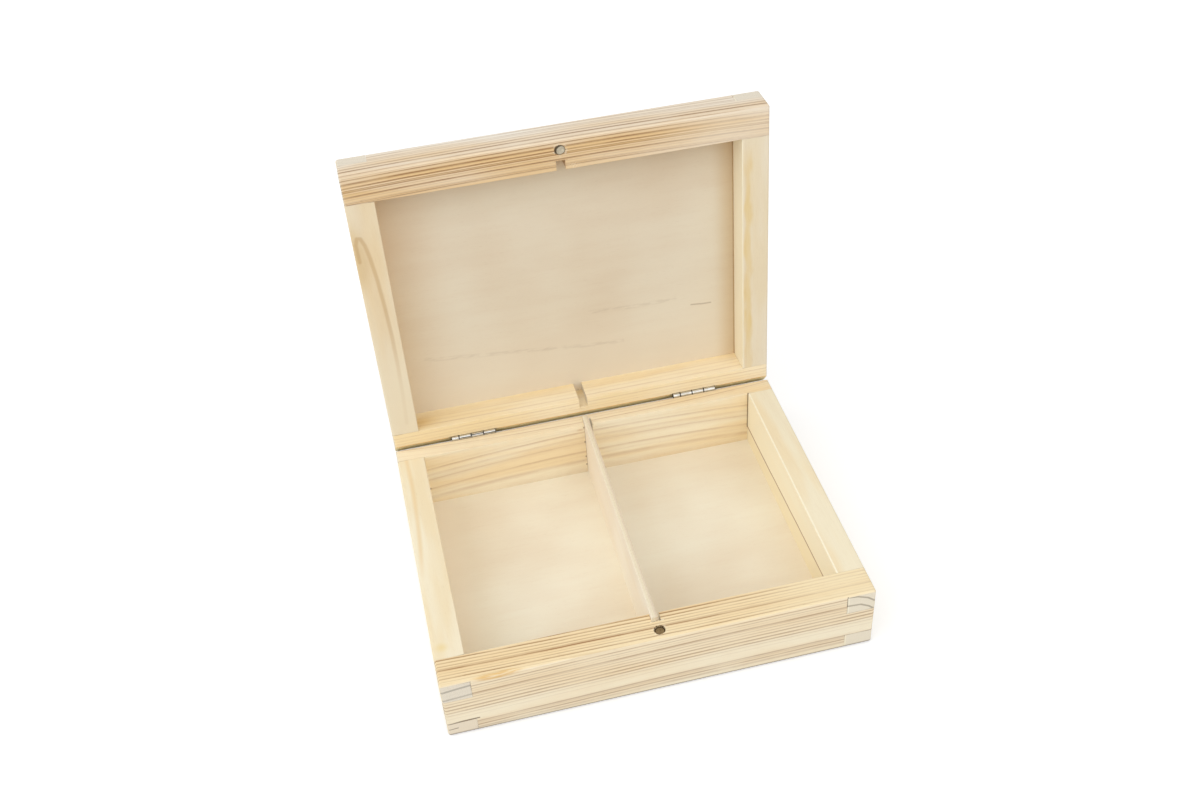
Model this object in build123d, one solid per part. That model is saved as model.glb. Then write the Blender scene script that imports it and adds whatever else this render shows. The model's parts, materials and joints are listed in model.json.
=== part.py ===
from build123d import *
import os
from math import radians, tan

# Wooden storage box: a hinged pair of finger-jointed trays with a lift-out divider.
# The frame is X to the right, Y to the back and Z up, in millimetres.
# The origin is the centre of the underside.
# The lid is modelled standing open, at the angle where its rear bevel meets the base's.

# Driving dimensions of the two halves
box_width = 250.0
box_depth = 204.0
base_height = 44.0
lid_height = 21.5
side_rail = 17.0
end_rail = 19.0
arris = 1.5
rim_arris = 0.4
glue_gap = 0.1
rim_gap = 0.3

# Finger joint, heights counted from the closed face of each half
base_foot_finger = 10.8
base_middle_finger = 19.0
base_rim_lip = 1.0
lid_top_finger = 9.5

# Plywood panels, flush in their routed rebates
panel_thickness = 3.0
panel_play = 0.15
rebate_width = 8.0
rebate_corner = 6.0

# Divider and its grooves
divider_thickness = 3.5
divider_proud = 3.0
divider_end_play = 0.4
divider_shift = -1.15
divider_arris = 0.3
groove_width = 5.5
groove_shift = -0.3
groove_depth = 6.2

# Magnets in the front rims
magnet_radius = 3.0
magnet_thickness = 2.0
magnet_play = 0.1
magnet_inset = 6.3
magnet_arris = 0.2
base_magnet_recess = 1.0
lid_magnet_recess = 0.3

# Rear bevel and hinges
open_angle = 93.0
bevel_width = 9.3
stop_gap = 0.15
hinge_inset = 51.0
knuckle_lengths = (5.0, 8.0, 8.0, 8.0)
knuckle_gap = 0.4
barrel_radius = 1.75
leaf_thickness = 0.9
leaf_depth = 11.0
leaf_play = 0.05
pin_play = 0.05
pin_arris = 0.2
barrel_clearance = 0.3
slot_end_room = 1.3
slot_floor_room = 0.8
tooth_size = 0.7
tooth_count = 3

# How far a cutter runs past the wood that it cuts
overrun = 1.0

# Ways to place a solid: standing on its own end, and laid along X
on_end = (Align.CENTER, Align.CENTER, Align.MIN)
along_x = (0, 90, 0)

# Places that follow from the driving dimensions
half_width = box_width / 2
half_depth = box_depth / 2
hinge_offset = half_width - hinge_inset
inner_x = half_width - side_rail
inner_y = half_depth - end_rail
bevel_start = half_depth - bevel_width
axis_y = bevel_start + barrel_radius + leaf_play
axis_z = base_height + rim_gap / 2
bevel_drop = (half_depth - axis_y) * tan(radians(open_angle / 2)) + stop_gap - rim_gap / 2
hinge_length = sum(knuckle_lengths)
bore_radius = barrel_radius - leaf_thickness
pin_radius = bore_radius - pin_play


def span(x_low, x_high, y_low, y_high, z_low, z_high):
    """A box between the given limits."""
    size = Box(x_high - x_low, y_high - y_low, z_high - z_low, align=Align.MIN)
    return Pos(x_low, y_low, z_low) * size


def rounded_plate(x_size, y_size, corner, thickness):
    """A flat plate with rounded corners, standing on Z = 0."""
    return extrude(RectangleRounded(x_size, y_size, corner), thickness)


# Each half is made standing on its closed face with its rim up, so that both halves share their joinery.


def rear_bevel(height):
    """The wedge cut off the rear rim, which lets the lid lean back and then stops it."""
    far_y = half_depth + overrun
    far_drop = bevel_drop * (bevel_width + overrun) / bevel_width
    corners = [
        (bevel_start, height),
        (far_y, height - far_drop),
        (far_y, height + overrun),
        (bevel_start, height + overrun),
    ]
    wedge = Plane.YZ * Polygon(*corners, align=None)
    return extrude(wedge, half_width + overrun, both=True)


def divider_grooves(height):
    """The upright grooves in the middle of the front and back rails, cut through the full height."""
    reach = inner_y + groove_depth
    half = groove_width / 2
    return span(groove_shift - half, groove_shift + half, -reach, reach, -overrun, height + overrun)


def panel_rebate():
    """The rebate routed round the closed face, with corners as round as the cutter."""
    x_size = 2 * (inner_x + rebate_width)
    y_size = 2 * (inner_y + rebate_width)
    return Pos(0, 0, -overrun) * rounded_plate(x_size, y_size, rebate_corner, panel_thickness + overrun)


def magnet_hole(height, recess):
    """The blind hole in the front rim that takes a disc magnet below the surface."""
    depth = magnet_thickness + recess
    hole = Cylinder(magnet_radius + magnet_play, depth + overrun, align=on_end)
    return Pos(0, magnet_inset - half_depth, height - depth) * hole


def hinge_seats(height):
    """For both hinges, the round seat of the barrel and the slot that the leaf is pressed into."""
    seats = []
    for centre in (-hinge_offset, hinge_offset):
        seat_length = hinge_length + 2 * barrel_clearance
        barrel = Cylinder(barrel_radius + barrel_clearance, seat_length, rotation=along_x)
        seats.append(Pos(centre, axis_y, height + rim_gap / 2) * barrel)
        half = hinge_length / 2 + slot_end_room
        slot = span(
            centre - half,
            centre + half,
            bevel_start,
            bevel_start + leaf_thickness + 2 * leaf_play,
            height - leaf_depth - slot_floor_room,
            height + overrun,
        )
        seats.append(slot)
    return seats


def frame_wood(height, recess):
    """The glued and sanded frame of one half as one body, before it is split into its rails."""
    block = Box(box_width, box_depth, height, align=on_end)
    block = fillet(block.edges(), arris)
    frame = block - span(-inner_x, inner_x, -inner_y, inner_y, -overrun, height + overrun)
    rim = frame.faces().sort_by(Axis.Z)[-1]
    frame = fillet(rim.inner_wires()[0].edges(), rim_arris)
    frame -= rear_bevel(height)
    frame -= divider_grooves(height)
    frame -= panel_rebate()
    frame -= magnet_hole(height, recess)
    for seat in hinge_seats(height):
        frame -= seat
    return frame


def side_share(side, height, fingers, play):
    """What a side rail takes of the frame: its length between the end rails, and its fingers through them."""
    inner_edge = inner_x - play
    outer_edge = half_width + overrun
    low, high = sorted((side * inner_edge, side * outer_edge))
    share = span(low, high, -inner_y - play, inner_y + play, -overrun, height + overrun)
    reach = half_depth + overrun
    for finger_low, finger_high in fingers:
        share += span(low, high, -reach, reach, finger_low - play, finger_high + play)
    return share


def end_share(end, height):
    """What the front rail (end -1) or the back rail (end 1) takes before the side fingers leave it."""
    outer_edge = half_depth + overrun
    low, high = sorted((end * inner_y, end * outer_edge))
    reach = half_width + overrun
    return span(-reach, reach, low, high, -overrun, height + overrun)


def split_rails(frame, height, fingers):
    """Splits the frame into its four rails along the finger joints."""
    rails = {}
    for name, side in (("left_rail", -1), ("right_rail", 1)):
        rails[name] = frame & side_share(side, height, fingers, 0)
    for name, end in (("front_rail", -1), ("back_rail", 1)):
        rail = frame & end_share(end, height)
        for side in (-1, 1):
            rail -= side_share(side, height, fingers, glue_gap)
        rails[name] = rail
    return rails


def panel():
    """The plywood sheet that closes a half, flush outside and seated against the shoulder of its rebate."""
    x_size = 2 * (inner_x + rebate_width - panel_play)
    y_size = 2 * (inner_y + rebate_width - panel_play)
    return rounded_plate(x_size, y_size, rebate_corner - panel_play, panel_thickness)


def magnet(height, recess):
    """A disc magnet on the floor of its hole, with broken edges."""
    disc = Cylinder(magnet_radius, magnet_thickness, align=(Align.CENTER, Align.CENTER, Align.MAX))
    disc = chamfer(disc.edges().filter_by(GeomType.CIRCLE), magnet_arris)
    return Pos(0, magnet_inset - half_depth, height - recess) * disc


def base_pieces():
    """The fixed half: four rails, floor and magnet."""
    foot_top = base_foot_finger
    rim_low = base_foot_finger + base_middle_finger
    fingers = [(-overrun, foot_top), (rim_low, base_height - base_rim_lip)]
    pieces = split_rails(frame_wood(base_height, base_magnet_recess), base_height, fingers)
    pieces["floor_panel"] = panel()
    pieces["magnet"] = magnet(base_height, base_magnet_recess)
    return pieces


def lid_pieces():
    """The moving half, made like the base with its rim up; set_open turns it over."""
    fingers = [(-overrun, lid_top_finger)]
    pieces = split_rails(frame_wood(lid_height, lid_magnet_recess), lid_height, fingers)
    pieces["panel"] = panel()
    pieces["magnet"] = magnet(lid_height, lid_magnet_recess)
    return pieces


def divider():
    """The plywood sheet that stands in both grooves and rests on the floor."""
    half = divider_thickness / 2
    reach = inner_y + groove_depth - divider_end_play
    sheet = span(
        divider_shift - half,
        divider_shift + half,
        -reach,
        reach,
        panel_thickness,
        base_height + divider_proud,
    )
    top = sheet.faces().sort_by(Axis.Z)[-1]
    return fillet(top.edges().filter_by(Axis.Y), divider_arris)


# Hinges, made about their own pin line with the base's leaf hanging down


def knuckle_places():
    """Start and length of each knuckle along the barrel, shortened by the gap between neighbours."""
    places = []
    start = -hinge_length / 2
    for length in knuckle_lengths:
        places.append((start + knuckle_gap / 2, length - knuckle_gap))
        start += length
    return places


def leaf_plate():
    """The flat of a leaf below the barrel, with teeth on both edges that bite in the ends of its slot."""
    half = hinge_length / 2 - knuckle_gap / 2
    top = -barrel_radius - barrel_clearance
    inner = -barrel_radius
    plate = span(-half, half, inner, inner + leaf_thickness, -leaf_depth, top)
    pitch = (leaf_depth + top) / tooth_count
    for side in (-1, 1):
        for number in range(tooth_count):
            root = -leaf_depth + number * pitch
            tip = (side * (half + tooth_size), root + pitch)
            tooth = make_face(Polyline((side * half, root), (side * half, root + pitch), tip, close=True))
            facing = Plane((0, inner, 0), x_dir=(1, 0, 0), z_dir=(0, -1, 0))
            plate += extrude(facing * tooth, -leaf_thickness)
    return plate


def leaf(first):
    """One leaf: its plate, and every second knuckle rolled from the same sheet, starting at number first."""
    piece = leaf_plate()
    inner = -barrel_radius
    for start, length in knuckle_places()[first::2]:
        knuckle = Cylinder(barrel_radius, length, rotation=along_x, align=on_end)
        piece += Pos(start, 0, 0) * knuckle
        piece += span(start, start + length, inner, inner + leaf_thickness, inner - barrel_clearance, 0)
    return piece - Cylinder(bore_radius, hinge_length + 2 * overrun, rotation=along_x)


def pin():
    """The hinge pin, with broken ends."""
    rod = Cylinder(pin_radius, hinge_length, rotation=along_x)
    return chamfer(rod.edges().filter_by(GeomType.CIRCLE), pin_arris)


def set_open(piece):
    """Swings a piece from the closed box to the open lid, about the hinge line."""
    at_axis = Pos(0, axis_y, axis_z)
    return at_axis * Rot(-open_angle, 0, 0) * at_axis.inverse() * piece


def turn_over(piece):
    """Sets a lid piece, made rim up, on top of the closed base."""
    return Pos(0, 0, base_height + rim_gap + lid_height) * mirror(piece, about=Plane.XY)


def hinge_pieces():
    """Both hinges in place, each with a leaf in the base, a leaf in the lid and a pin."""
    pieces = {}
    for name, centre in (("left_hinge", -hinge_offset), ("right_hinge", hinge_offset)):
        place = Pos(centre, axis_y, axis_z)
        pieces[name + "_base_leaf"] = place * leaf(0)
        pieces[name + "_lid_leaf"] = set_open(place * mirror(leaf(1), about=Plane.XY))
        pieces[name + "_pin"] = place * pin()
    return pieces


def all_nodes():
    """Every separate piece of the box under its own name."""
    nodes = {"base_" + name: piece for name, piece in base_pieces().items()}
    nodes.update({"lid_" + name: set_open(turn_over(piece)) for name, piece in lid_pieces().items()})
    nodes["divider"] = divider()
    nodes.update(hinge_pieces())
    return nodes


os.makedirs("parts", exist_ok=True)
for node_name, shape in all_nodes().items():
    export_step(shape, "parts/" + node_name + ".step")
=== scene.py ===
# %% [markdown]
# # A small wooden storage box
#
# The construction arrives ready made, as a packed frame of nineteen pieces at their real size and place.
# This script gives those pieces what the real ones show: grain and end grain, glue lines, a streak of
# resin, plywood faces, plated hinges and two small magnets. It also sets up the floor, the light and the
# camera. Nothing of the frame is moved, so every finish is written in the frame's own coordinates.

import json
from math import cos, radians, sin, sqrt

import bpy
from mathutils import Matrix, Vector

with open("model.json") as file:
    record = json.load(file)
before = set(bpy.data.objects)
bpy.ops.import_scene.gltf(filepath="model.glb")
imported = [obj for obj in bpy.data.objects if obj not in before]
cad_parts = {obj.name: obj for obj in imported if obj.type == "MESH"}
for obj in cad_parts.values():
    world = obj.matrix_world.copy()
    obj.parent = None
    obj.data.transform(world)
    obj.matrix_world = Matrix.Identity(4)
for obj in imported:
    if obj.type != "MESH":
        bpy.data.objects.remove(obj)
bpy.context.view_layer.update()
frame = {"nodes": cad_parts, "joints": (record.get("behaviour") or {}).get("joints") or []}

# %% [markdown]
# ## The camera
#
# The photograph looks down into the open box from the front, slightly from the left, with a little tilt.
# A camera could be aimed by eye, or by constraints at a target. Here its place and three angles are
# written out, because they come from a fit to the box's corners, and a matrix made of them holds exactly
# those angles. The lens sits a little off the middle of the picture, which the shift takes up.

# %% Place the camera
picture_width, picture_height = 1193, 796
sensor_width = 36.0
focal_pixels = 1376.5
centre_pixel_x, centre_pixel_y = 616.0, 438.2
camera_place = Vector((-0.1126, -0.5775, 0.6348))
view_azimuth, view_elevation, view_roll = radians(11.13), radians(42.052), radians(-3.701)


def camera_matrix(place, azimuth, elevation, roll):
    """A camera's matrix from where it stands and how far it is turned, tipped down and tilted."""
    forward = Vector((sin(azimuth) * cos(elevation), cos(azimuth) * cos(elevation), -sin(elevation)))
    level = Vector((cos(azimuth), -sin(azimuth), 0))
    upright = level.cross(forward)
    right = cos(roll) * level + sin(roll) * upright
    up = cos(roll) * upright - sin(roll) * level
    turned = Matrix((right, up, -forward)).transposed()
    return Matrix.Translation(place) @ turned.to_4x4()


lens = bpy.data.cameras.new("view")
lens.sensor_width = sensor_width
lens.lens = focal_pixels / picture_width * sensor_width
lens.shift_x = (picture_width / 2 - centre_pixel_x) / picture_width
lens.shift_y = (centre_pixel_y - picture_height / 2) / picture_width
lens.clip_start, lens.clip_end = 0.01, 50
camera = bpy.data.objects.new("view", lens)
camera.matrix_world = camera_matrix(camera_place, view_azimuth, view_elevation, view_roll)
bpy.context.scene.collection.objects.link(camera)
bpy.context.scene.camera = camera
print("lens", round(lens.lens, 1), "mm, shift", round(lens.shift_x, 4), round(lens.shift_y, 4))

# %% [markdown]
# ## Values
#
# Every finish is a node tree. Trees can be wired one node at a time, but then a formula of six steps
# hides in forty lines. A small class wraps the output of a node, so that ordinary arithmetic adds the
# Math nodes.

# %% Values


class Value:
    """One output of a node. Arithmetic on it adds Math nodes to its finish."""

    def __init__(self, finish, socket):
        self.finish = finish
        self.socket = socket

    def math(self, operation, *inputs):
        return self.finish.add("ShaderNodeMath", {"operation": operation}, dict(enumerate(inputs)))

    def __add__(self, other):
        return self.math("ADD", self, other)

    def __radd__(self, other):
        return self.math("ADD", other, self)

    def __sub__(self, other):
        return self.math("SUBTRACT", self, other)

    def __rsub__(self, other):
        return self.math("SUBTRACT", other, self)

    def __mul__(self, other):
        return self.math("MULTIPLY", self, other)

    def __rmul__(self, other):
        return self.math("MULTIPLY", other, self)

    def __truediv__(self, other):
        return self.math("DIVIDE", self, other)

    def __abs__(self):
        return self.math("ABSOLUTE", self)

    def __gt__(self, other):
        return self.math("GREATER_THAN", self, other)

    def __lt__(self, other):
        return self.math("LESS_THAN", self, other)

    def fraction(self):
        return self.math("FRACT", self)

    def least(self, other):
        return self.math("MINIMUM", self, other)

    def most(self, other):
        return self.math("MAXIMUM", self, other)

    def step(self, start, end):
        """0 at start, 1 at end and beyond, and a smooth change between them."""
        limits = {"Value": self, "From Min": start, "From Max": end}
        return self.finish.add("ShaderNodeMapRange", {"interpolation_type": "SMOOTHSTEP"}, limits)


print("a value can do:", ", ".join(name.strip("_") for name, part in vars(Value).items() if callable(part)))

# %% [markdown]
# ## Finishes
#
# A second class holds one tree. Sums are left to the values, and one method adds every other kind of node
# from its type, its settings and the values or links of its sockets. The rest are short names for nodes
# used often.

# %% Finishes


class Finish:
    """A material, or the sky, that is built node by node."""

    def __init__(self, name, owner=None):
        self.owner = owner or bpy.data.materials.new(name)
        self.owner.use_nodes = True
        self.nodes = self.owner.node_tree.nodes
        self.links = self.owner.node_tree.links
        self.nodes.clear()

    def add(self, kind, settings=None, inputs=None, output=0):
        """Adds a node: first its settings or a ramp's stops, then the values or links of its sockets."""
        node = self.nodes.new(kind)
        for setting, value in (settings or {}).items():
            if setting == "stops":
                self.set_stops(node.color_ramp, value)
            else:
                setattr(node, setting, value)
        for socket, value in (inputs or {}).items():
            if isinstance(value, Value):
                self.links.new(value.socket, node.inputs[socket])
            else:
                node.inputs[socket].default_value = value
        return Value(self, node.outputs[output]) if node.outputs else None

    @staticmethod
    def set_stops(ramp, stops):
        """Gives a ramp its stops: (place from 0 to 1, grey level or colour)."""
        while len(ramp.elements) < len(stops):
            ramp.elements.new(1.0)
        for element, (place, _) in zip(ramp.elements, stops):
            element.position = place
        for element, (_, level) in zip(ramp.elements, stops):
            element.color = (level, level, level, 1) if isinstance(level, (int, float)) else level

    def ramp(self, share, stops):
        return self.add("ShaderNodeValToRGB", {"stops": stops}, {"Fac": share})

    def vector(self, operation, *inputs, output=0):
        return self.add("ShaderNodeVectorMath", {"operation": operation}, dict(enumerate(inputs)), output)

    def length(self, run):
        return self.vector("LENGTH", run, output="Value")

    def axes(self, place):
        """The three coordinates of a place as values."""
        first = self.add("ShaderNodeSeparateXYZ", None, {0: place})
        return [Value(self, output) for output in first.socket.node.outputs]

    def mix(self, share, first, second):
        """The first colour where share is 0 and the second where it is 1."""
        return self.add("ShaderNodeMix", {"data_type": "RGBA"}, {0: share, 6: first, 7: second}, 2)

    def darken(self, colour, share, by):
        """A colour multiplied by another, as far as share says."""
        settings = {"data_type": "RGBA", "blend_type": "MULTIPLY"}
        return self.add("ShaderNodeMix", settings, {0: share, 6: colour, 7: by}, 2)

    def noise(self, place, stretch, detail=2.0, roughness=0.5):
        """Soft random values round 0.5, over a place in millimetres divided by a stretch per direction."""
        spread = self.vector("MULTIPLY", place, tuple(1 / size for size in stretch))
        inputs = {"Vector": spread, "Scale": 1.0, "Detail": detail, "Roughness": roughness}
        return self.add("ShaderNodeTexNoise", None, inputs)

    def noise_along(self, value, stretch, detail=1.0):
        """Soft random values round 0.5 along a single value."""
        inputs = {"W": value / stretch, "Scale": 1.0, "Detail": detail}
        return self.add("ShaderNodeTexNoise", {"noise_dimensions": "1D"}, inputs)

    def close(self, colour, roughness, height, height_depth, fixed):
        """Ends the finish with one shader: colour, roughness, a bump from the height, and fixed values."""
        bump = self.add("ShaderNodeBump", None, {"Strength": 1.0, "Distance": height_depth, "Height": height})
        inputs = {"Base Color": colour, "Roughness": roughness, "Normal": bump, **fixed}
        shader = self.add("ShaderNodeBsdfPrincipled", None, inputs)
        self.add("ShaderNodeOutputMaterial", None, {"Surface": shader})
        print(self.owner.name, "is made of", len(self.nodes), "nodes")
        return self.owner


print("a finish can do:", ", ".join(name for name in vars(Finish) if not name.startswith("__")))

# %% [markdown]
# ## Colours
#
# A shader adds and multiplies light, so it takes colours on a linear scale. Wood is easier to compare
# with a paint chart, whose steps look even to the eye. Every colour below is written as on the chart and
# turned into light here.

# %% Colours


def tone(red, green, blue):
    """A colour as a paint chart gives it, from 0 to 255, as the linear light that shaders take."""
    shares = [part / 255 for part in (red, green, blue)]
    return (*(((share + 0.055) / 1.055) ** 2.4 if share > 0.04 else share / 12.92 for share in shares), 1.0)


print("a grey of 188 on the chart is", round(tone(188, 188, 188)[0], 2), "of full light")

# %% [markdown]
# ## Where the pattern sits
#
# Wood is a solid material: a growth ring that shows as a line on the front runs on over the edge and down
# the end grain. A painted picture would have to be matched at every edge, so the pattern is worked out
# from the place in the board. The lid stands open, turned about the hinge line. Its finish is written for
# the closed box, like the base's, and a Mapping node turns each place on it back to where it was when the
# box was shut.

# %% Places on the closed box, in millimetres
per_metre = 1000.0
hinge = next(joint for joint in frame["joints"] if joint["name"] == "lid_hinge")
hinge_y, hinge_z = (per_metre * part for part in hinge["pos_m"][1:])
open_turn = radians(-hinge["range_deg"][0])
print("hinge line at y", hinge_y, "z", hinge_z, "mm, lid open by", -hinge["range_deg"][0], "degrees")


def closed_place(finish, on_lid):
    """The place on the closed box, in millimetres, of a point of the base or of the open lid."""
    here = finish.add("ShaderNodeTexCoord", None, None, "Object")
    if not on_lid:
        return finish.vector("MULTIPLY", here, (per_metre,) * 3)
    turned_y = cos(open_turn) * hinge_y - sin(open_turn) * hinge_z
    turned_z = sin(open_turn) * hinge_y + cos(open_turn) * hinge_z
    back = {
        "Vector": here,
        "Location": (0, hinge_y - turned_y, hinge_z - turned_z),
        "Rotation": (open_turn, 0, 0),
        "Scale": (per_metre,) * 3,
    }
    return finish.add("ShaderNodeMapping", None, back)


def closed_normal(finish, on_lid):
    """The direction that a face looks in on the closed box."""
    facing = finish.add("ShaderNodeTexCoord", None, None, "Normal")
    if not on_lid:
        return facing
    turn_back = {"Vector": facing, "Rotation": (open_turn, 0, 0)}
    return finish.add("ShaderNodeMapping", {"vector_type": "NORMAL"}, turn_back)


# %% [markdown]
# ## Growth rings
#
# Each rail is sawn from another part of a pine log. The rings are circles about the pith, which lies
# outside the board or in it, and where it lies decides the figure: close lines on one face, broad flames
# on the next. Straight stripes would be simpler, but they would not bend over an edge as these do. Single
# dark rings stand where the photograph shows them, and finer ones fill the space between. Each ring
# builds up slowly and ends sharply, as summer wood does.

# %% Growth rings
ring_build_up = 0.6
ring_end = 0.22
rings_per_ramp = 10
ramp_margin = 4.0


def ring_radius(pith, across, up):
    """How far from the pith a ring lies that crosses the given place in the board's section."""
    return sqrt((across - pith[0]) ** 2 + (up - pith[1]) ** 2)


def dark_rings(finish, radius, rings):
    """The single dark rings, each given as its distance from the pith, its strength and its width."""
    rings = sorted(rings)
    total = 0.0
    for first in range(0, len(rings), rings_per_ramp):
        group = rings[first : first + rings_per_ramp]
        low = group[0][0] - ramp_margin
        high = group[-1][0] + ramp_margin
        stops = []
        for centre, strength, width in group:
            before, after = centre - ring_build_up * width, centre + ring_end * width
            stops += [(before, 0.0), (centre, strength), (after, 0.0)]
        for number in range(3, len(stops), 3):
            if stops[number][0] <= stops[number - 1][0]:
                middle = (stops[number - 2][0] + stops[number + 1][0]) / 2
                stops[number - 1] = (middle, stops[number - 1][1])
                stops[number] = (middle + 0.01, stops[number][1])
        stops = [((place - low) / (high - low), level) for place, level in stops]
        total = finish.ramp((radius - low) / (high - low), stops) + total
    return total


def ring_bands(finish, radius, bands):
    """The slow change of tint from ring to ring, through stops of (distance from the pith, level)."""
    bands = sorted(bands)
    low, high = bands[0][0], bands[-1][0]
    stops = [((distance - low) / (high - low), level) for distance, level in bands]
    return finish.ramp((radius - low) / (high - low), stops)


def fine_rings(finish, radius, spacing):
    """Close, uneven rings: how dark their summer wood is, and how pale the wood that follows it."""
    turn = (radius / spacing + finish.noise_along(radius, 9.0) * 3.0).fraction()
    uneven = finish.noise_along(radius + 37.0, 2.6).step(0.3, 0.7)
    late = finish.ramp(turn, [(0.0, 0.0), (0.5, 0.06), (0.8, 1.0), (0.9, 0.9), (0.97, 0.0)])
    early = finish.ramp(turn, [(0.0, 1.0), (0.3, 0.0), (0.97, 0.0), (1.0, 1.0)])
    return late * uneven, early * uneven


print("a ring 30 mm beside its pith and 40 mm above it has a radius of", ring_radius((0, 0), 30, 40), "mm")

# %% [markdown]
# ## Joints
#
# At the corners the side rails' fingers come through the front and back rails and show their end grain
# there. The glue line between them is a hair wide, with glue and dust in it, and darkens the wood beside
# it. The gap itself is in the construction. The stain beside it could be drawn edge by edge, but the
# fingers meet at the same heights at every corner, so it is worked out from those.

# %% Glue lines
inner_x, inner_y = 108.0, 83.0
outer_x, outer_y = 125.0, 102.0
base_top, lid_bottom, lid_top = 44.0, 44.3, 65.8
base_finger_heights = (10.8, 29.8, 43.0)
lid_finger_heights = (56.3,)
glue_width = 0.5
far_off = 9.0


def between(value, low, high):
    """1 between two limits and 0 outside them."""
    return (value > low) * (value < high)


def glue_lines(finish, place, on_lid):
    """How dark the stain is beside the glue lines of the corner joints."""
    x, y, z = finish.axes(place)
    wide, deep = abs(x), abs(y)
    heights = lid_finger_heights if on_lid else base_finger_heights
    corner = (wide > inner_x - 0.5) * (deep > inner_y - 0.5)
    from_level = far_off
    for height in heights:
        from_level = abs(z - height).least(from_level)
    if on_lid:
        side_finger = z > heights[0]
        end_finger = z < heights[0]
    else:
        side_finger = (z < heights[0]) + between(z, heights[1], heights[2])
        end_finger = between(z, heights[0], heights[1]) + (z > heights[2])
    on_end = (deep > outer_y - 3) * side_finger
    on_side = (wide > inner_x) * end_finger
    from_side_finger = abs(wide - inner_x) * on_end + far_off * (1 - on_end)
    from_end_finger = abs(deep - inner_y) * on_side + far_off * (1 - on_side)
    distance = from_level.least(from_side_finger.least(from_end_finger))
    distance = distance * corner + far_off * (1 - corner)
    uneven = finish.noise(place, (9, 9, 9), 3).step(0.35, 0.75) * 0.9 + 0.2
    shifted = finish.vector("ADD", place, (31.0, 7.0, 13.0))
    patchy = finish.noise(shifted, (17, 17, 11), 1.0).step(0.42, 0.6)
    return (1 - (distance / (uneven * glue_width)).step(0.2, 1.0)) * patchy


print("fingers meet at", base_finger_heights, "mm on the base and at", lid_finger_heights, "mm on the lid")

# %% [markdown]
# ## Marks
#
# Knots, resin, slits and single lines belong to one spot of one board. Each could be a small picture laid
# on the face. Here it is a soft patch or a thin line given by points of the closed box, which stays sharp
# at any size.

# %% Marks


def spot(finish, place, centre, size):
    """A soft round patch: 1 in its middle and 0 at its edge."""
    offset = finish.vector("SUBTRACT", place, centre)
    return 1 - finish.length(finish.vector("DIVIDE", offset, size)).step(0.0, 1.0)


def stroke(finish, place, start, end, width):
    """A thin mark between two points: 1 along its middle and 0 at its edge."""
    start, end = Vector(start), Vector(end)
    run = end - start
    from_start = finish.vector("SUBTRACT", place, tuple(start))
    share = finish.vector("DOT_PRODUCT", from_start, tuple(run / run.length_squared), output="Value")
    share = share.most(0.0).least(1.0)
    nearest = finish.add("ShaderNodeVectorMath", {"operation": "SCALE"}, {0: tuple(run), "Scale": share})
    distance = finish.length(finish.vector("SUBTRACT", from_start, nearest))
    return 1 - distance.step(0.25 * width, width)


def stroke_path(finish, place, points, width):
    """A mark through several points in turn."""
    mark = 0.0
    for start, end in zip(points, points[1:]):
        mark = stroke(finish, place, start, end, width).most(mark)
    return mark


def on_front(*points):
    """Points of the front face from their x and z."""
    return [(x, -outer_y, z) for x, z in points]


def at_height(z, *points):
    """Points of a level face from their x and y."""
    return [(x, y, z) for x, y in points]


print("two points of the front face:", on_front((-outer_x, 0.0), (outer_x, base_top)))

# %% [markdown]
# ## One rail
#
# The colour of a rail is mixed in the order in which the wood shows it: pale spring wood with slow
# changes of tint, summer wood in the rings, short fibres that catch dust, then end grain where a face
# looks along the grain, and at last the stains. A picture for each face could hold this too, but eight
# rails have dozens of faces. A little of the fibre pattern also lifts the surface, because sanding leaves
# the summer wood proud.

# %% Pine
pine_summer = tone(178, 128, 78)
pine_spring = tone(253, 245, 226)
pine_end_pale = tone(236, 227, 209)
pine_end_dark = tone(172, 156, 136)
pine_shade = tone(120, 84, 50)
fibre_dust = tone(208, 176, 138)
dash_brown = tone(170, 125, 80)
pore_brown = tone(190, 165, 135)
foot_shade = tone(132, 124, 122)
wood_gloss = {"Specular IOR Level": 0.3}
outer_skin = 0.4


def grained(along, length, width):
    """The stretch of a pattern that is long along one axis and narrow across it."""
    return tuple(length if axis == along else width for axis in "XYZ")


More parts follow.
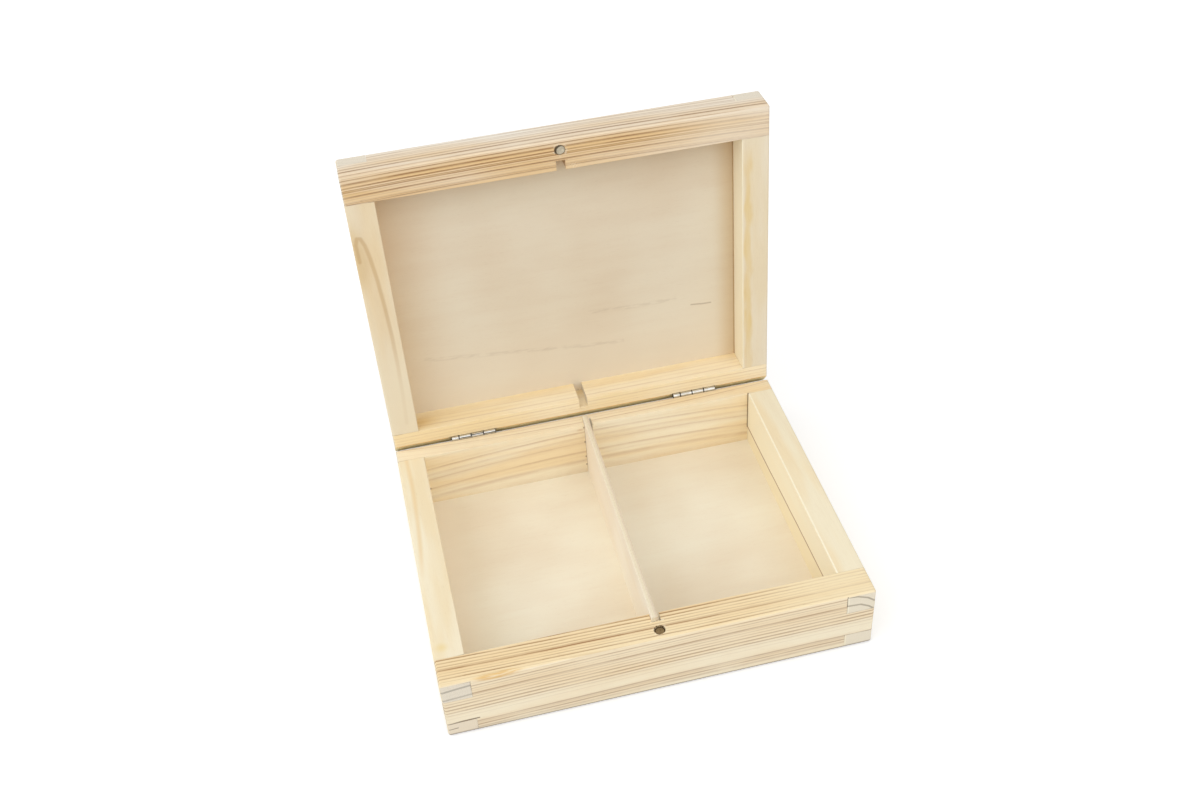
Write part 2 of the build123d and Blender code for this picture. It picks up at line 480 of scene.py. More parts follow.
def pine(name, along, pith, pale, warm, seed, extras, wander, spacing, fine, summer=pine_summer, rings=(),
         bands=(), on_lid=False, lean=0.0, bow=0.0, fibre=1.0, fade=(0, 1, 0), outer_share=1.0):
    """The finish of one rail.

    Rings are (across, up, strength, width) and bands are (across, up, level), through a place in the board's
    section. The fade is where along the rail the rings weaken, and by how much. The outer share says how
    strong they are on the outer face, which was sanded last, beside those on the rim.
    """
    finish = Finish(name)
    place = closed_place(finish, on_lid)
    x, y, z = finish.axes(place)
    run, across, outer_limit = (x, y, outer_y) if along == "X" else (y, x, outer_x)
    seeded = finish.vector("ADD", place, (seed, seed * 1.7, seed * 0.6))

    slow = (finish.noise(seeded, grained(along, 70, 30), 1.5) - 0.5) * (2 * wander)
    quick = (finish.noise(seeded, grained(along, 14, 6), 1.0) - 0.5) * (0.5 * wander)
    height = z - (run * lean + run * run * bow + slow + quick)
    from_pith = finish.add("ShaderNodeCombineXYZ", None, {0: across - pith[0], 1: height - pith[1]})
    radius = finish.length(from_pith)

    tint = finish.noise(seeded, grained(along, 90, 14), 2.0).step(0.35, 0.65)
    late, early = fine_rings(finish, radius, spacing)
    late = late * fine
    if bands:
        level = ring_bands(finish, radius, [(ring_radius(pith, *band[:2]), band[2]) for band in bands])
        tint = tint * 0.3 + level
        late = late * (level * 0.7 + 0.35)
    if rings:
        found = [(ring_radius(pith, *ring[:2]), *ring[2:]) for ring in rings]
        patchy = finish.noise(seeded, grained(along, 30, 8), 2.0).step(0.25, 0.6) * 0.5 + 0.5
        late = late.most(dark_rings(finish, radius, found) * patchy)
    fade_start, fade_end, fade_share = fade
    outer = abs(across) > outer_limit - outer_skin
    faded = 1 - run.step(fade_start, fade_end) * (1 - outer) * fade_share
    late = late * faded * (1 - outer * (1 - outer_share))
    tint = tint * (faded * 0.6 + 0.4)

    colour = finish.mix(tint, pale, warm)
    colour = finish.mix(early * (0.5 * fine), colour, pine_spring)
    colour = finish.mix(late, colour, summer)
    fibres = finish.noise(seeded, grained(along, 9, 0.28), 2.5, 0.6)
    colour = finish.darken(colour, fibres.step(0.45, 0.75) * (0.16 * fibre), fibre_dust)
    dashes = finish.noise(seeded, grained(along, 3.5, 0.3), 0.0).step(0.72, 0.82)
    colour = finish.darken(colour, dashes * (late * 0.5 + 0.12 * fibre), dash_brown)

    end_grain = abs(finish.axes(closed_normal(finish, on_lid))["XYZ".index(along)]).step(0.55, 0.8)
    end_pores = finish.noise(place, (0.5, 0.5, 0.5), 2.0)
    end_colour = finish.mix((late * 1.2).least(1.0), pine_end_pale, pine_end_dark)
    end_colour = finish.darken(end_colour, end_pores.step(0.4, 0.8) * 0.35, pore_brown)
    colour = finish.mix(end_grain, colour, end_colour)

    colour = extras(finish, place, colour)
    colour = finish.darken(colour, glue_lines(finish, place, on_lid) * 0.4, pine_shade)
    if not on_lid:
        # Painted shade along the foot of the base's rails, where the rounded bottom edge turns down to the
        # floor.
        colour = finish.darken(colour, (1 - z.step(0.9, 2.3)) * 0.9, foot_shade)
    return finish.close(colour, fibres * 0.16 + 0.52, late * 0.5 + fibres * 0.6, 0.00006, wood_gloss)


print("stretch of a pattern along a front rail:", grained("X", 70, 30))

# %% [markdown]
# ## What the cutters left
#
# The magnet's hole was drilled with a dull bit: its edge is torn and in part burnt. On the lid the dark
# edge is kept to one side, as painted shade of the hole's wall. The grooves for the divider were cut
# after sanding, so the wood in them is fresh; in the lid's groove it is painted darker, as painted shade.
# Both rails that have them share these marks. A burnt ring of one width would look printed, so noise
# breaks it up.

# %% Holes and grooves
magnet_place = (0.0, -95.7)
magnet_hole_radius = 3.1
frayed_pale = tone(246, 236, 214)
burnt_and_shade_brown = tone(104, 82, 52)
groove_reach = 6.4


def magnet_edge(finish, place, colour, width, shaded_side=(0.0, 0.0)):
    """The dark torn edge of the hole that was drilled for the magnet, and the frayed pale fibres round it.

    A shaded side of (0, 0) darkens the edge all round; else only the part of the edge in that direction is
    dark, as painted shade of the hole's wall.
    """
    x, y, z = finish.axes(place)
    from_x, from_y = x - magnet_place[0], y - magnet_place[1]
    distance = finish.length(finish.add("ShaderNodeCombineXYZ", None, {0: from_x, 1: from_y}))
    ragged = (finish.noise(place, (1.6, 1.6, 1.6), 1.0).step(0.4, 0.62) - 0.15) * width
    frayed = 1 - abs(distance - magnet_hole_radius - 0.7).step(0.2, 0.9)
    patchy = finish.noise(place, (1.8, 1.8, 1.8), 1.0).step(0.45, 0.65)
    at_rim = abs(z - base_top) < 3.0
    colour = finish.mix(frayed * patchy * at_rim * 0.35, colour, frayed_pale)
    burnt_and_shade = 1 - (distance - magnet_hole_radius - ragged).step(-0.15, 0.12)
    # On the lid only one side of the edge stays dark, as painted shade of the hole's wall.
    if any(shaded_side):
        burnt_and_shade = burnt_and_shade * (from_x * shaded_side[0] + from_y * shaded_side[1]).step(-1.2, 1.4)
    return finish.mix(burnt_and_shade * at_rim * 0.9, colour, burnt_and_shade_brown)


def groove_wood_and_shade(finish, place, colour, tint):
    """The wood inside the divider's groove: freshly cut on the base, and painted darker on the lid, as
    painted shade.
    """
    x, y, z = finish.axes(place)
    deep = abs(y)
    inside = (abs(x) < 4.0) * (deep > inner_y + 0.3) * (deep < inner_y + groove_reach)
    side = abs(finish.axes(finish.add("ShaderNodeTexCoord", None, None, "Normal"))[0]).step(0.5, 0.8)
    back = (deep > inner_y + groove_reach - 0.5) * (z < 60.0)
    return finish.mix(inside * side.most(back) * 0.8, colour, tint)


hole_from_front = round(outer_y + magnet_place[1], 1)
print("magnet's hole:", 2 * magnet_hole_radius, "mm wide,", hole_from_front, "mm from the front face")

# %% [markdown]
# ## The base's front rail
#
# This rail shows its rings best: they run as fine lines along the front and climb over the edge to the
# rim, so their pith lies behind and below. The rings could be spaced by noise alone. The dark ones are
# placed one by one instead, by their height on the front face, because they give this board its
# character. A streak of amber resin has surfaced on the front edge at the left.

# %% The base's front rail
base_front_pith = (-34.0, -20.0)
base_front_rings = [
    (41.5, 0.9, 1.1), (39.3, 0.6, 0.9), (37.4, 0.35, 0.8), (35.2, 1.0, 1.6), (32.4, 0.6, 0.8),
    (30.0, 0.55, 0.8), (27.7, 0.9, 1.0), (24.9, 1.0, 1.1), (22.3, 1.0, 1.0), (20.0, 0.4, 0.8),
    (10.2, 0.9, 1.0), (6.9, 1.0, 1.2), (4.7, 0.6, 1.0),
]
base_front_bands = [
    (44, 0.3), (40, 0.45), (36, 0.6), (30, 0.55), (24, 0.6), (20, 0.25), (13, 0.1), (9, 0.3), (3, 0.05),
]
slit_brown = tone(112, 92, 66)
resin_amber = tone(224, 177, 98)


def base_front_marks(finish, place, colour):
    """Painted warm light on all but the front face, resin on its edge, slits at the fingers, the magnet's
    hole.
    """
    # The rim and the inside are painted yellower than the front face, as painted warm light; the front face
    # stands in shade.
    warm_light_behind_face = finish.axes(place)[1] > -outer_y + outer_skin
    colour = finish.darken(colour, warm_light_behind_face, tone(255, 250, 236))
    resin = spot(finish, place, (-92.5, -101.6, 43.2), (20.0, 3.6, 3.3)).step(0.0, 0.7)
    broken = finish.noise(place, (9, 0.8, 0.8), 3).step(0.26, 0.6)
    colour = finish.mix(resin * broken * 0.8, colour, resin_amber)
    slit = stroke_path(finish, place, on_front((-124.0, 10.3), (-116.0, 10.9), (-106.5, 10.9)), 0.75)
    slit = slit.most(stroke(finish, place, *on_front((inner_x, 36.0), (inner_x, 43.6)), 0.6))
    colour = finish.darken(colour, slit * 0.85, slit_brown)
    colour = groove_wood_and_shade(finish, place, colour, tone(250, 240, 218))
    return magnet_edge(finish, place, colour, 0.55)


base_front_pine = pine(
    "base_front_pine", "X", base_front_pith, tone(251, 241, 215), tone(243, 221, 183), 3.0, base_front_marks,
    wander=0.45, spacing=1.4, fine=0.65, summer=tone(152, 104, 58), lean=0.012, bow=-0.00005,
    fade=(10, 110, 0.75), outer_share=0.72,
    rings=[(-outer_y, *ring) for ring in base_front_rings],
    bands=[(-outer_y, *band) for band in base_front_bands],
)

# %% [markdown]
# ## The base's back rail
#
# Its rings lie almost along the inner wall, which so shows a few broad bands that sag in the middle. The
# corners inside hold dark glue, and the groove's cutter tore chips out on its left. Chips could be cut
# into the mesh, but at this size only their shade is seen.

# %% The base's back rail
chip_heights = (42.2, 29.7, 16.8, 9.8)
glue_brown = tone(120, 92, 56)
base_back_wall = [(34.0, 0.22, 2.4), (21.4, 0.4, 1.5), (17.6, 0.1, 1.0), (13.7, 0.35, 2.0), (5.1, 0.2, 1.8)]
base_back_rim = [(86.5, 0.45, 1.4), (89.0, 0.2, 1.0), (91.5, 0.35, 1.2)]


def corner_glue(finish, place):
    """The dark glue in the rear right corner."""
    return stroke(finish, place, (inner_x, inner_y, base_top), (inner_x, inner_y, 15.0), 0.8)


def base_back_marks(finish, place, colour):
    """Glue in the inner corners, chips and a smear left of the groove, and the warmer rim."""
    glue = corner_glue(finish, place).most(spot(finish, place, (-inner_x, inner_y, 15.6), (1.6, 1.6, 1.4)))
    for height in chip_heights:
        glue = glue.most(spot(finish, place, (-3.4, inner_y, height), (0.9, 1.5, 1.2)))
    smear = spot(finish, place, (-6.0, inner_y, 40.8), (3.4, 1.5, 1.6))
    colour = finish.darken(colour, smear * 0.4, tone(200, 160, 112))
    colour = groove_wood_and_shade(finish, place, colour, tone(254, 250, 240))
    at_rim = finish.axes(place)[2] > base_top - 0.3
    colour = finish.darken(colour, at_rim, tone(250, 245, 236))
    return finish.darken(colour, glue * 0.8, glue_brown)


rings = [(inner_y, *ring) for ring in base_back_wall]
rings += [(y, base_top, *look) for y, *look in base_back_rim]
base_back_pine = pine(
    "base_back_pine", "X", (150.0, 0.0), tone(253, 243, 218), tone(250, 231, 193), 11.0, base_back_marks,
    wander=0.7, spacing=3.1, fine=0.12, lean=0.008, bow=-0.00045, rings=rings,
)

# %% [markdown]
# ## The base's side rails
#
# Both are quiet boards. The left one has a flame that swings along the rim and a small yellow knot near
# the front. The right one has one fine dark ring along its inner wall, with yellower wood below. Their
# end grain shows on the front face, where single rings cross the fingers. The knot could be a bump too,
# but sanding has levelled it.

# %% The base's side rails
flame_place, flame_lean, flame_bow = -121.0, 0.075, -0.00065


def base_left_marks(finish, place, colour):
    """A flame along the rim, a knot near the front, and rings and slits on the end grain."""
    x, y, z = finish.axes(place)
    from_flame = abs(x - (flame_place + flame_lean * y + flame_bow * y * y))
    flame = (1 - from_flame.step(0.0, 2.4)) * y.step(-30.0, 5.0)
    colour = finish.mix(flame * 0.45, colour, tone(232, 196, 132))
    knot = spot(finish, place, (-119.5, -75.0, base_top), (5.5, 4.5, 4.0))
    colour = finish.mix(knot * 0.5, colour, tone(236, 210, 136))
    low_finger = (y < -outer_y + 0.6) * (1 - z.step(12.0, 14.0))
    colour = finish.mix(low_finger * 0.6, colour, tone(238, 222, 196))
    upper = stroke_path(finish, place, on_front((-125, 38.3), (-116, 39.4), (-108, 40.2)), 1.1)
    lower = stroke(finish, place, *on_front((-125, 31.4), (-108, 32.6)), 1.0)
    colour = finish.darken(colour, upper.most(lower * 0.8) * 0.55, tone(150, 146, 142))
    slit = stroke(finish, place, *on_front((-125.0, 10.2), (-108.0, 10.7)), 0.5)
    slit = slit.most(stroke(finish, place, *on_front((-124.5, 5.4), (-119.0, 5.8)), 0.45))
    return finish.darken(colour, slit * 0.8, slit_brown)


def base_right_marks(finish, place, colour):
    """The fine dark ring along the inner wall, the yellower wood below it, and rings on the end grain."""
    x, y, z = finish.axes(place)
    line_height = 18.4 - 0.042 * y + (finish.noise(place, (40, 25, 40), 1) - 0.5) * 1.6
    inside = x < inner_x + 1.0
    colour = finish.mix(inside * 0.8, colour, tone(255, 248, 224))
    colour = finish.darken(colour, 1 - inside, tone(251, 249, 246))
    line = (1 - abs(z - line_height).step(0.25, 1.1)) * inside
    below = (line_height - z).step(0.0, 2.0) * inside
    colour = finish.mix(below * 0.35, colour, tone(248, 228, 180))
    colour = finish.darken(colour, line * 0.8, tone(150, 105, 62))
    colour = finish.darken(colour, corner_glue(finish, place) * 0.8, glue_brown)
    colour = finish.mix((y < -outer_y + 0.6) * 0.5, colour, tone(246, 237, 214))
    upper = stroke_path(finish, place, on_front((108, 43.4), (114, 42.6), (120, 40.0), (125, 35.7)), 0.9)
    lower = stroke_path(finish, place, on_front((108, 36.2), (116, 35.5), (121, 32.6), (125, 28.7)), 0.9)
    return finish.darken(colour, upper.most(lower) * 0.6, tone(140, 128, 114))


base_left_pine = pine(
    "base_left_pine", "Y", (-106.0, -60.0), tone(247, 237, 210), tone(243, 227, 191), 21.0, base_left_marks,
    wander=0.5, spacing=4.0, fine=0.05, fibre=0.5,
)
base_right_pine = pine(
    "base_right_pine", "Y", (106.0, 8.0), tone(250, 241, 214), tone(248, 232, 196), 31.0, base_right_marks,
    wander=0.5, spacing=4.5, fine=0.05, fibre=0.5, lean=-0.03,
)

# %% [markdown]
# ## The lid's front rail
#
# It was cut from a faster part of the tree: its rim has broad orange rings round the magnet, which bow
# towards the middle. Its front face has weak rings and is painted greyer, as a painted sheen. So its
# rings are placed on two faces, by their depth on the rim and their height on the front, and the pith is
# where both lists agree.

# %% The lid's front rail
lid_front_pith = (-42.5, 7.2)
lid_front_rim = [
    (-100.3, 0.9, 1.1), (-98.0, 1.0, 1.5), (-95.7, 1.0, 1.3), (-93.3, 0.9, 1.2), (-90.3, 1.0, 1.2),
    (-88.7, 0.3, 0.8), (-87.2, 0.3, 0.8), (-85.8, 0.8, 1),
]
lid_front_face = [
    (63.4, 0.5, 1.2), (60.4, 0.4, 1.2), (56.6, 0.35, 1.2), (53.7, 0.6, 1.3), (50.8, 0.9, 1.5),
    (46.4, 0.6, 1.2),
]
lid_rim_bands = [(-85, 0.6), (-89, 0.65), (-93, 0.75), (-97, 0.85), (-101, 0.55)]
# On the front face the levels are low, which paints it greyer: a painted sheen.
lid_face_sheen_bands = [(47, 0.35), (50, 0.4), (54, 0.4), (58, 0.2), (61, 0.1), (65, 0.0)]


def lid_front_marks(finish, place, colour):
    """Torn fibres beside the groove, painted shade inside the groove, and the edge of the magnet's hole, dark
    on one side as painted shade.
    """
    torn = spot(finish, place, (7.0, -84.6, lid_bottom), (6.5, 3.0, 3.0))
    torn = torn * finish.noise(place, (0.9, 0.9, 0.9), 1.0).step(0.4, 0.6)
    colour = finish.mix(torn * 0.55, colour, tone(244, 226, 196))
    # Inside the lid's groove the darker tint is painted shade.
    colour = groove_wood_and_shade(finish, place, colour, tone(206, 170, 126))
    # The magnet's edge is dark only on its upper left, as painted shade.
    return magnet_edge(finish, place, colour, 0.45, (-0.7, -0.7))


rings = [(-outer_y, *ring) for ring in lid_front_face]
rings += [(y, lid_bottom, *look) for y, *look in lid_front_rim]
bands = [(-outer_y, *band) for band in lid_face_sheen_bands]
bands += [(y, lid_bottom, level) for y, level in lid_rim_bands]
lid_front_pine = pine(
    "lid_front_pine", "X", lid_front_pith, tone(246, 240, 227), tone(231, 197, 144), 43.0, lid_front_marks,
    wander=0.35, spacing=1.4, fine=0.65, summer=tone(142, 94, 52), on_lid=True, bow=-0.00017,
    fade=(20, 105, 0.6), rings=rings, bands=bands,
)

# %% [markdown]
# ## The lid's back rail
#
# A pale board with a patch of yellow heartwood in its left corner. Its rear rim is bevelled like the
# base's, and the two bevels meet when the lid stands open. The bevel is found by the way its face looks,
# which is simpler than giving it a slot of its own on the mesh.

# %% The lid's back rail
lid_back_rim = [(85.5, 0.3, 1.2), (88.0, 0.15, 1.0), (90.0, 0.2, 1.2)]
bevel_start = 92.7
bevel_reach = 8.3


def lid_back_marks(finish, place, colour):
    """A patch of heartwood, and the bevel, sawn after sanding, painted pale as painted light in the crevice,
    and with painted shade along its edge.
    """
    heartwood = spot(finish, place, (-106.0, inner_y, 53.0), (17.0, 4.0, 8.0))
    colour = finish.mix(heartwood * 0.5, colour, tone(224, 184, 108))
    facing = abs(finish.axes(closed_normal(finish, True))[1])
    _, y, z = finish.axes(place)
    slanted = facing.step(0.4, 0.5) * (1 - facing.step(0.85, 0.95))
    bevel = slanted * (abs(z - hinge_z) < bevel_reach) * (y > bevel_start - 0.2)
    # The bevel is painted pale as painted light in the deep crevice, and darker along its edge as painted
    # shade.
    colour = finish.mix(bevel, colour, tone(255, 246, 208))
    bevel_edge_shade = 1 - (y - bevel_start).step(0.4, 2.4)
    return finish.darken(colour, bevel * bevel_edge_shade, tone(255, 222, 172))


lid_back_pine = pine(
    "lid_back_pine", "X", (150.0, 90.0), tone(254, 239, 206), tone(250, 228, 182), 53.0, lid_back_marks,
    wander=0.6, spacing=4.0, fine=0.1, on_lid=True, bow=0.00006,
    rings=[(y, lid_bottom, *look) for y, *look in lid_back_rim],
)

# %% [markdown]
# ## The lid's side rails
#
# The left rim has a flame: a ring that turns round a browner patch at the front, runs back along the rim
# and fades. The right rim has a brown stripe along its inner half, of uneven width. Both could come from
# the rings themselves with the right pith, but then every other face would change with them, so they are
# marks.

# %% The lid's side rails
panel_underside = 62.8
lid_flame = [
    (-122.8, -46.0), (-123.2, -57.0), (-121.8, -61.5), (-119.8, -61.0), (-118.0, -56.0), (-116.6, -48.0),
    (-115.0, -33.0), (-113.8, -14.0), (-113.0, 8.0), (-112.9, 30.0), (-113.5, 55.0), (-114.4, 75.0),
]


def lid_left_marks(finish, place, colour):
    """The flame on the rim and its browner patch, and the paler rear end."""
    y = finish.axes(place)[1]
    colour = finish.mix(y.step(-10.0, 50.0) * 0.85, colour, tone(238, 225, 197))
    patch = spot(finish, place, (-124.0, -48.0, lid_bottom), (10.0, 36.0, 6.0)).step(0.0, 0.8)
    colour = finish.darken(colour, patch * 0.9, tone(242, 234, 218))
    flame = stroke_path(finish, place, at_height(lid_bottom, *lid_flame), 1.8)
    flame = flame * (1 - y.step(-10.0, 60.0) * 0.8)
    return finish.mix(flame * 0.45, colour, tone(190, 152, 98))


def lid_right_marks(finish, place, colour):
    """The brown stripe on the rim, the inner wall painted lighter as painted light, and a line of painted
    shade where it meets the panel.
    """
    x, y, z = finish.axes(place)
    uneven = finish.noise(place, (5.0, 22.0, 5.0), 2.0).step(0.3, 0.7)
    stripe = 1 - (abs(x - 111.6) + (1 - uneven) * 2.0).step(1.8, 4.6)
    strength = (uneven * 0.4 + 0.6) * y.step(-80.0, -62.0) * (1 - y.step(48.0, 80.0) * 0.5)
    colour = finish.darken(colour, stripe * strength * (z < lid_bottom + 0.5), tone(250, 237, 201))
    inside = x < inner_x + 0.5
    # The inner wall is painted lighter, as painted light.
    colour = finish.mix(inside * 0.85, colour, tone(254, 246, 220))
    # A dark line of painted shade where the wall meets the panel.
    corner = (1 - abs(z - panel_underside).step(0.2, 0.9)) * inside
    return finish.darken(colour, corner * 0.6, tone(176, 132, 84))


lid_left_pine = pine(
    "lid_left_pine", "Y", (-100.0, 130.0), tone(236, 220, 190), tone(233, 211, 172), 61.0, lid_left_marks,
    wander=0.6, spacing=4.2, fine=0.1, on_lid=True, fibre=0.5,
)
lid_right_pine = pine(
    "lid_right_pine", "Y", (140.0, 120.0), tone(238, 226, 202), tone(235, 219, 187), 71.0, lid_right_marks,
    wander=0.6, spacing=4.2, fine=0.1, on_lid=True, fibre=0.5,
)

# %% [markdown]
# ## Plywood
#
# The floor, the lid's panel and the divider are thin plywood with a rotary-cut face: the knife meets each
# ring at a flat angle, so its figure is broad soft clouds with short pores, not lines. On an edge the
# three plies show as stripes, the middle one as end grain. The edge could have a material of its own, but
# which face a point lies on can be read from the direction in which the face looks.

# %% Plywood faces and edges
ply_edge = [
    (0.0, tone(241, 231, 206)), (0.31, tone(241, 230, 204)), (0.34, tone(230, 215, 188)),
    (0.37, tone(239, 228, 200)), (0.63, tone(237, 225, 198)), (0.66, tone(216, 198, 172)),
    (0.69, tone(233, 219, 194)), (1.0, tone(222, 205, 178)),
]
cloud_shade = tone(236, 220, 204)
streak_shade = tone(214, 186, 156)
pore_shade = tone(196, 162, 128)
edge_shade = tone(190, 160, 130)


def plywood(name, thin_axis, start, thickness, pale, pink, seed, on_lid=False, along="X", extras=None):
    """The finish of a plywood sheet across one axis, with its first ply starting at the given place."""
    finish = Finish(name)
    place = closed_place(finish, on_lid)
    seeded = finish.vector("ADD", place, (seed, seed * 1.3, seed * 0.7))
    clouds = finish.noise(seeded, grained(along, 60, 10), 3.0).step(0.3, 0.7)
    colour = finish.mix(clouds * 0.35, pale, pink)
    wide_clouds = finish.noise(seeded, (90, 90, 90), 2.0).step(0.35, 0.65)
    colour = finish.darken(colour, wide_clouds * 0.35, cloud_shade)
    streaks = finish.noise(seeded, grained(along, 18, 2), 2.0)
    colour = finish.darken(colour, streaks.step(0.5, 0.8) * 0.035, streak_shade)
    pores = finish.noise(seeded, grained(along, 3.0, 0.35), 1.0)
    colour = finish.darken(colour, pores.step(0.62, 0.75) * 0.08, pore_shade)
    if extras:
        colour = extras(finish, place, colour)

    axis = "XYZ".index(thin_axis)
    edge = 1 - abs(finish.axes(closed_normal(finish, on_lid))[axis]).step(0.45, 0.7)
    stripes = finish.ramp((finish.axes(place)[axis] - start) / thickness, ply_edge)
    rough_edge = finish.noise(place, (1.2, 1.2, 1.2), 3.0).step(0.35, 0.75)
    stripes = finish.darken(stripes, rough_edge * 0.12, edge_shade)
    colour = finish.mix(edge, colour, stripes)
    return finish.close(colour, pores * 0.15 + 0.55, streaks + pores * 0.5, 0.00004, wood_gloss)


print("the plies meet at", [share for share, _ in ply_edge[2::3]], "of the thickness")

# %% [markdown]
# ## The three sheets
#
# The floor is the palest, and is painted lighter beside the left rail and the divider, as painted light
# where their shade falls. The divider is nearly white, and the lid's panel has darkened most: it has
# painted shade under the front rail and at its left and right ends, and a few dark lines where the
# knife lifted the veneer.
# One finish for all three would be less work, but they were cut from three sheets and look it.

# %% The three sheets
line_brown = tone(150, 118, 84)
veneer_lines = [
    [(-95.0, 43.0), (-58.0, 47.0), (8.0, 54.5), (32.0, 56.0)],
    [(12.0, 29.5), (45.0, 31.5), (68.0, 31.0)],
]
flecks = [[(79.0, 38.0), (85.0, 38.6)], [(85.5, 38.8), (92.0, 39.0)]]
# Layers of painted shade on the lid's panel: under the front rail and along the right rail.
front_shade = [
    (-2.0, 12.0, 0.75, tone(206, 178, 132)),
    (-0.5, 5.0, 0.7, tone(196, 170, 126)),
    (0.0, 45.0, 0.5, tone(228, 218, 204)),
]
right_shade = [(0.0, 15.0, 0.5, tone(228, 202, 160)), (0.0, 1.1, 0.6, tone(190, 156, 100))]


def floor_painted_light(finish, place, colour):
    """The veneer is painted a little paler beside the left rail and the divider, as painted light against
    their shade.
    """
    x = finish.axes(place)[0]
    lit_left_edge = 1 - (x + inner_x).step(2.0, 20.0)
    lit_beside_divider = (1 - x.step(4.0, 26.0)) * (x > 0.0)
    # Painted light beside the left rail and the divider, where their shade falls.
    colour = finish.mix(lit_left_edge * 0.6, colour, tone(255, 244, 226))
    return finish.mix(lit_beside_divider * 0.45, colour, tone(255, 250, 236))


def layered_shade(finish, colour, distance, inside, layers):
    """Layers of painted shade along one end, each given by where it starts and ends, its strength and its
    shade.
    """
    for start, end, strength, shade in layers:
        colour = finish.darken(colour, (1 - distance.step(start, end)) * inside * strength, shade)
    return colour


def panel_lines(finish, place, lines, width):
    """Thin lines on the inside of the lid's panel."""
    marks = 0.0
    for line in lines:
        marks = stroke_path(finish, place, at_height(panel_underside, *line), width).most(marks)
    return marks


def lid_panel_marks(finish, place, colour):
    """Painted shade under the front rail and at the left and right ends of the panel's inside, a paler rear
    end, and dark lines and flecks.
    """
    x, y, z = finish.axes(place)
    inside = z < lid_top - 1.5
    # Painted shade under the front rail and inside the groove.
    colour = layered_shade(finish, colour, y + inner_y, inside, front_shade)
    # Painted shade at the left end, beside the left rail.
    colour = finish.darken(colour, (1 - x.step(-112.0, -62.0)) * inside * 0.35, tone(240, 212, 176))
    colour = finish.mix(y.step(10.0, 85.0) * inside * 0.6, colour, tone(240, 227, 204))
    # Painted shade along the right rail, with a dark line of painted shade in the corner.
    colour = layered_shade(finish, colour, inner_x - x, inside, right_shade)
    broken = finish.noise(place, (7.0, 1.6, 9.0), 2.0).step(0.35, 0.65)
    colour = finish.darken(colour, panel_lines(finish, place, veneer_lines, 2.2) * broken * 0.13, line_brown)
    return finish.darken(colour, panel_lines(finish, place, flecks, 0.8) * 0.4, line_brown)


floor_ply = plywood(
    "floor_plywood", "Z", 0.0, 3.0, tone(248, 242, 223), tone(243, 232, 211), 5.0, extras=floor_painted_light,
)
lid_ply = plywood(
    "lid_plywood", "Z", panel_underside, 3.0, tone(231, 220, 198), tone(225, 209, 185), 17.0,
    on_lid=True, extras=lid_panel_marks,
)
divider_ply = plywood(
    "divider_plywood", "X", -2.9, 3.5, tone(254, 249, 237), tone(251, 243, 226), 29.0, along="Y",
)

# %% [markdown]
# ## Metal
#
# The hinges are nickel-plated sheet: bright, with fine draw marks round the knuckles. The magnets are
# plated too, but the base's has tarnished to a brown film, while the lid's is still grey. A metal takes
# its look from what it reflects, so its own colour stays plain, and the roughness carries the wear. The
# gaps between the knuckles are too narrow to show a shadow, so they are painted dark, as black oil and
# painted shade, and a line of painted shade runs along the left hinge's barrel.

# %% Metal
hinge_centre = 74.0
knuckle_ends = (-14.5, -9.5, -1.5, 6.5, 14.5)
lid_magnet_lit = (0.8, 104.9, 233.3)


def metal(name, colour, stain, roughness, scale, seed=0.0, extras=None):
    """A worn metal: the plain colour, a stain in soft patches, and scratches in the roughness."""
    finish = Finish(name)
    place = closed_place(finish, False)
    seeded = finish.vector("ADD", place, (seed, seed, seed))
    patches = finish.noise(seeded, (scale, scale, scale), 3.0).step(0.35, 0.7)
    shade = finish.mix(patches * 0.6, colour, stain)
    if extras:
        shade = extras(finish, place, shade)
    scratches = finish.noise(seeded, (0.15, 3.0, 3.0), 2.0)
    rough = scratches * 0.18 + patches * 0.1 + (roughness - 0.1)
    return finish.close(shade, rough, scratches, 0.00001, {"Metallic": 1.0})


def hinge_oil_and_shade(finish, place, colour):
    """Dark in the gaps between the knuckles, as black oil and painted shade, and a line of painted shade
    along the middle of the left hinge's barrel.
    """
    x, y, z = finish.axes(place)
    side = (x > 0.0) * 2.0 - 1.0
    along = (abs(x) - hinge_centre) * side
    gap = far_off
    for end in knuckle_ends:
        gap = abs(along - end).least(gap)
    # Dark in the gaps between the knuckles: black oil and painted shade.
    oil_and_shade = 1 - gap.step(0.2, 0.5)
    # A line of painted shade along the middle of the left hinge's barrel.
    up_barrel = (y - hinge_y) * 0.67 + (z - hinge_z) * 0.74
    line_place = between(along, -1.5, 6.5) * 0.7 - 0.45
    line = (1 - abs(up_barrel - line_place).step(0.1, 0.36)) * (x < 0.0) * along.step(-10.0, -8.0)
    return finish.darken(colour, oil_and_shade.most(line), tone(40, 30, 18))


def magnet_rim(finish, place, colour):
    """The rust-brown rim of the base's magnet."""
    x, y, _ = finish.axes(place)
    from_centre = finish.add("ShaderNodeCombineXYZ", None, {0: x - magnet_place[0], 1: y - magnet_place[1]})
    ragged = finish.noise(place, (1.3, 1.3, 1.3), 2.0) * 1.2
    return finish.darken(colour, (finish.length(from_centre) + ragged).step(2.7, 3.4) * 0.8, tone(96, 72, 44))


def crooked_shade(finish, place, colour):
    """The shaded upper left of the lid's magnet, which lies a little crooked in its hole."""
    distance = finish.length(finish.vector("SUBTRACT", place, lid_magnet_lit))
    return finish.darken(colour, distance.step(2.4, 3.2) * 0.85, tone(92, 74, 52))


